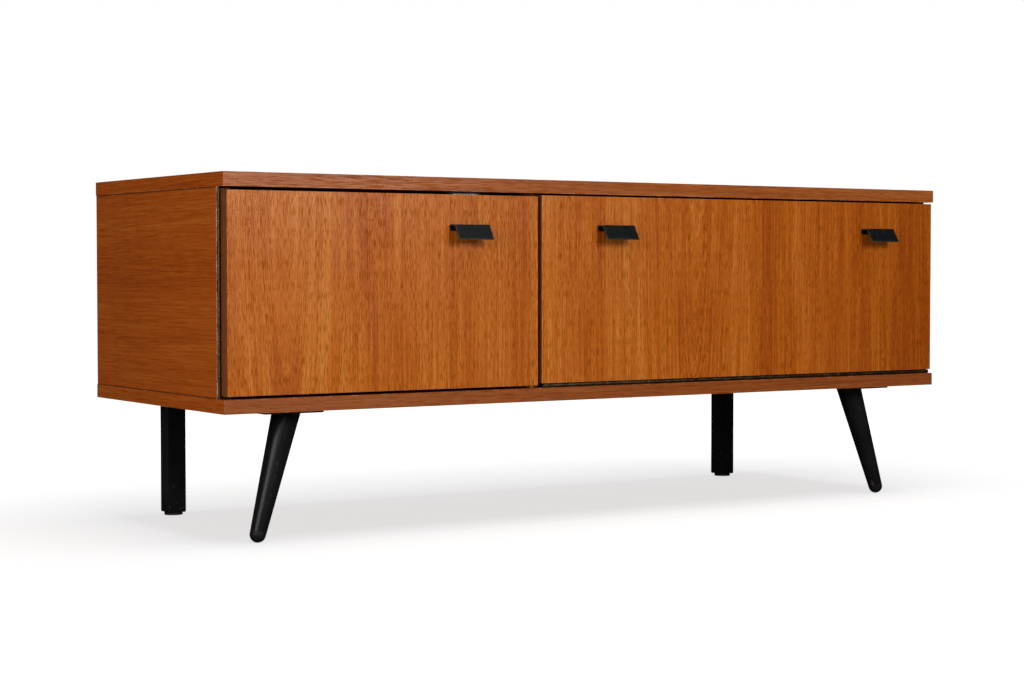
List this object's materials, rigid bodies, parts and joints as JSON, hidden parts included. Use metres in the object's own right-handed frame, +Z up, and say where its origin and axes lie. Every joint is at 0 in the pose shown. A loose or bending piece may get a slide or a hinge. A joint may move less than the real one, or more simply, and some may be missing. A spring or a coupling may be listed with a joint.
{
  "type": "sideboard buffet",
  "caption": "Low veneered sideboard with a side-hung door and a fall flap on stays, folded black pulls, round splayed front legs and square upright rear legs.",
  "frame": {"origin": "on the floor, below the middle of the bounding box with the pulls", "axes": "+X along the width to the flap's end, +Y from the front to the back, +Z up"},
  "size_m": [1.26, 0.4622, 0.492],
  "materials": {
    "teak_carcase": "teak veneer, satin lacquer",
    "teak_front": "teak veneer with upright grain, satin lacquer",
    "back_board": "plain plywood, matt",
    "beech": "plain turned beech",
    "black_wood": "black satin lacquer",
    "black_steel": "black satin enamel",
    "pale_steel": "dull nickel plate",
    "bronzed_steel": "bronzed, dull",
    "zinc_steel": "zinc plate",
    "catch_metal": "dull, pressed",
    "magnet": "dark ferrite",
    "glide_plastic": "matt black"
  },
  "bodies": {
    "carcase": {"top_panel": "teak_carcase", "bottom_panel": "teak_carcase", "left_side_panel": "teak_carcase", "right_side_panel": "teak_carcase", "divider_panel": "teak_carcase", "back_panel": "back_board", "back_panel_screws": "zinc_steel", "carcase_dowels": "beech", "shelf": "teak_carcase", "shelf_pins": "zinc_steel", "door_hinge_carcase_leaf": "bronzed_steel", "door_hinge_pin": "zinc_steel", "door_hinge_carcase_screws": "bronzed_steel", "flap_hinge_carcase_leaf": "bronzed_steel", "flap_hinge_pin": "zinc_steel", "flap_hinge_carcase_screws": "bronzed_steel", "door_catch": "catch_metal", "flap_catch_left": "catch_metal", "flap_catch_right": "catch_metal", "catch_magnets": "magnet", "catch_screws": "zinc_steel", "stay_base_left": "pale_steel", "stay_base_right": "pale_steel", "stay_base_screws": "zinc_steel", "front_leg_left": "black_wood", "front_leg_right": "black_wood", "front_leg_plate_left": "black_steel", "front_leg_plate_right": "black_steel", "front_leg_plate_screws": "zinc_steel", "front_leg_bolts": "zinc_steel", "front_leg_glides": "glide_plastic", "rear_leg_left": "black_wood", "rear_leg_right": "black_wood", "rear_leg_bolts": "zinc_steel", "rear_leg_glides": "glide_plastic"},
    "door": {"door_panel": "teak_front", "door_hinge_door_leaf": "bronzed_steel", "door_hinge_door_screws": "bronzed_steel", "door_pull": "black_steel", "door_pull_screws": "black_steel", "door_keeper": "zinc_steel", "door_keeper_screws": "zinc_steel"},
    "flap": {"flap_panel": "teak_front", "flap_hinge_flap_leaf": "bronzed_steel", "flap_hinge_flap_screws": "bronzed_steel", "flap_pull_left": "black_steel", "flap_pull_right": "black_steel", "flap_pull_screws": "black_steel", "flap_keepers": "zinc_steel", "flap_keeper_screws": "zinc_steel", "stay_bracket_left": "pale_steel", "stay_bracket_right": "pale_steel", "stay_pins": "zinc_steel", "stay_bracket_screws": "zinc_steel"},
    "arm_left": {"stay_rod_left": "pale_steel", "stay_stop_left": "zinc_steel"},
    "arm_right": {"stay_rod_right": "pale_steel", "stay_stop_right": "zinc_steel"},
    "guide_left": {"stay_guide_left": "pale_steel"},
    "guide_right": {"stay_guide_right": "pale_steel"}
  },
  "joints": [
    {"name": "door_hinge", "type": "hinge", "parent": "carcase", "child": "door", "pos_m": [-0.6272, -0.18477, 0.3345], "axis": [0, 0, -1], "range_deg": [0, 170]},
    {"name": "flap_hinge", "type": "hinge", "parent": "carcase", "child": "flap", "pos_m": [0.24565, -0.20212, 0.1992], "axis": [1, 0, 0], "range_deg": [0, 90]},
    {"name": "stay_arm_left", "type": "hinge", "parent": "flap", "child": "arm_left", "pos_m": [-0.1186, -0.17662, 0.3742], "axis": [1, 0, 0], "range_deg": [-45, 0]},
    {"name": "stay_arm_right", "type": "hinge", "parent": "flap", "child": "arm_right", "pos_m": [0.6002, -0.17662, 0.3742], "axis": [1, 0, 0], "range_deg": [-45, 0]},
    {"name": "stay_guide_left", "type": "hinge", "parent": "carcase", "child": "guide_left", "pos_m": [-0.1186, -0.0707, 0.31753], "axis": [1, 0, 0], "range_deg": [0, 45]},
    {"name": "stay_guide_right", "type": "hinge", "parent": "carcase", "child": "guide_right", "pos_m": [0.6002, -0.0707, 0.31753], "axis": [1, 0, 0], "range_deg": [0, 45]}
  ],
  "couplings": [
    {"joint": "stay_arm_left", "follows": "flap_hinge", "ratio": -0.5},
    {"joint": "stay_arm_right", "follows": "flap_hinge", "ratio": -0.5},
    {"joint": "stay_guide_left", "follows": "flap_hinge", "ratio": 0.5},
    {"joint": "stay_guide_right", "follows": "flap_hinge", "ratio": 0.5}
  ]
}
